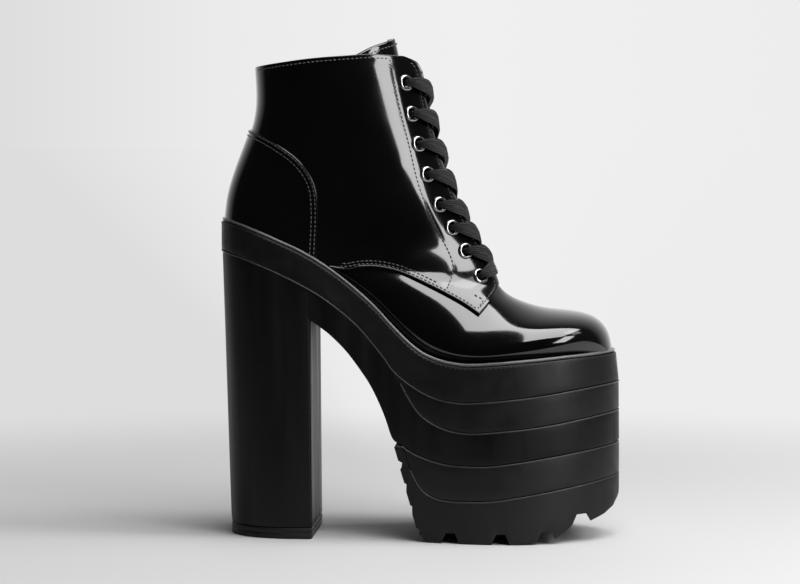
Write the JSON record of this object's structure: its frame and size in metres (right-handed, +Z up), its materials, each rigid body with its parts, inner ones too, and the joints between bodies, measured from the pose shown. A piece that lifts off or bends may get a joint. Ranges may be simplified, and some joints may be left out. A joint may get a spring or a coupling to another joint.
{
  "type": "platform ankle boot",
  "caption": "Lace-up patent leather ankle boot, right foot, with a thick layered platform, lugged outsole, tall block heel and an inner side zip.",
  "frame": {"origin": "on the ground, under the middle of the bounding box", "axes": "+X from heel to toe, -Y to the wearer's outer (lateral) side of this right boot, +Z up"},
  "size_m": [0.2334, 0.0984, 0.2898],
  "materials": {
    "patent_leather": "high-gloss black patent coating",
    "textile_lining": "matte dark grey knit lining",
    "padding_foam": "open foam, hidden",
    "stiffener_sheet": "matte pressed non-woven stiffener, hidden",
    "insole_fibreboard": "matte pressed cellulose board",
    "sole_rubber": "satin black moulded rubber",
    "heel_plastic": "satin black rubber-coated heel unit",
    "fastener_steel": "plain steel, hidden",
    "zip_metal": "polished nickel plating",
    "zip_tape_cloth": "matte black woven tape",
    "lace_weave": "matte charcoal flat woven lace",
    "lace_tip_plastic": "glossy moulded lace tip",
    "eyelet_nickel": "polished silver-coloured eyelet ring"
  },
  "bodies": {
    "boot": {"quarter_lateral": "patent_leather", "quarter_medial_front": "patent_leather", "quarter_medial_back": "patent_leather", "vamp": "patent_leather", "heel_patch": "patent_leather", "welt": "patent_leather", "quarter_lining_lateral": "textile_lining", "quarter_lining_medial_front": "textile_lining", "quarter_lining_medial_back": "textile_lining", "vamp_lining": "textile_lining", "sock_liner": "textile_lining", "collar_foam_lateral": "padding_foam", "collar_foam_medial": "padding_foam", "facing_stay_lateral": "stiffener_sheet", "facing_stay_medial": "stiffener_sheet", "heel_counter": "stiffener_sheet", "toe_puff": "stiffener_sheet", "insole_board": "insole_fibreboard", "midsole_band": "sole_rubber", "platform_upper_layer": "sole_rubber", "platform_lower_layer": "sole_rubber", "heel_top_piece": "sole_rubber", "outsole": "sole_rubber", "heel_and_waist": "heel_plastic", "heel_screw": "fastener_steel", "steel_shank": "fastener_steel", "top_piece_pin_1": "fastener_steel", "top_piece_pin_2": "fastener_steel", "zip_teeth_back": "zip_metal", "zip_teeth_front": "zip_metal", "zip_top_stop_back": "zip_metal", "zip_top_stop_front": "zip_metal", "zip_bottom_stop": "zip_metal", "zip_tape_back": "zip_tape_cloth", "zip_tape_front": "zip_tape_cloth", "lace": "lace_weave", "lace_tip_lateral": "lace_tip_plastic", "lace_tip_medial": "lace_tip_plastic", "eyelet_lateral_1": "eyelet_nickel", "eyelet_lateral_2": "eyelet_nickel", "eyelet_lateral_3": "eyelet_nickel", "eyelet_lateral_4": "eyelet_nickel", "eyelet_lateral_5": "eyelet_nickel", "eyelet_lateral_6": "eyelet_nickel", "eyelet_lateral_7": "eyelet_nickel", "eyelet_lateral_8": "eyelet_nickel", "eyelet_medial_1": "eyelet_nickel", "eyelet_medial_2": "eyelet_nickel", "eyelet_medial_3": "eyelet_nickel", "eyelet_medial_4": "eyelet_nickel", "eyelet_medial_5": "eyelet_nickel", "eyelet_medial_6": "eyelet_nickel", "eyelet_medial_7": "eyelet_nickel", "eyelet_medial_8": "eyelet_nickel"},
    "tongue": {"tongue_cover": "patent_leather", "tongue_foam": "padding_foam", "tongue_lining": "textile_lining"},
    "zip_slider": {"zip_slider": "zip_metal"},
    "zip_pull": {"zip_pull": "zip_metal"}
  },
  "joints": [
    {"name": "tongue_flex", "type": "hinge", "parent": "boot", "child": "tongue", "pos_m": [0.0385, 0, 0.1505], "axis": [0, -1, 0], "range_deg": [0, 12], "stiffness_Nm_per_rad": 0.08, "springref_deg": -11.46},
    {"name": "zip_slide", "type": "slide", "parent": "boot", "child": "zip_slider", "axis": [-0.0632, -0.0422, -0.9971], "range_m": [0, 0.088]},
    {"name": "zip_pull_swing", "type": "hinge", "parent": "zip_slider", "child": "zip_pull", "pos_m": [-0.04158, 0.03822, 0.27033], "axis": [0.998, 0, -0.0632], "range_deg": [-2, 170]}
  ]
}
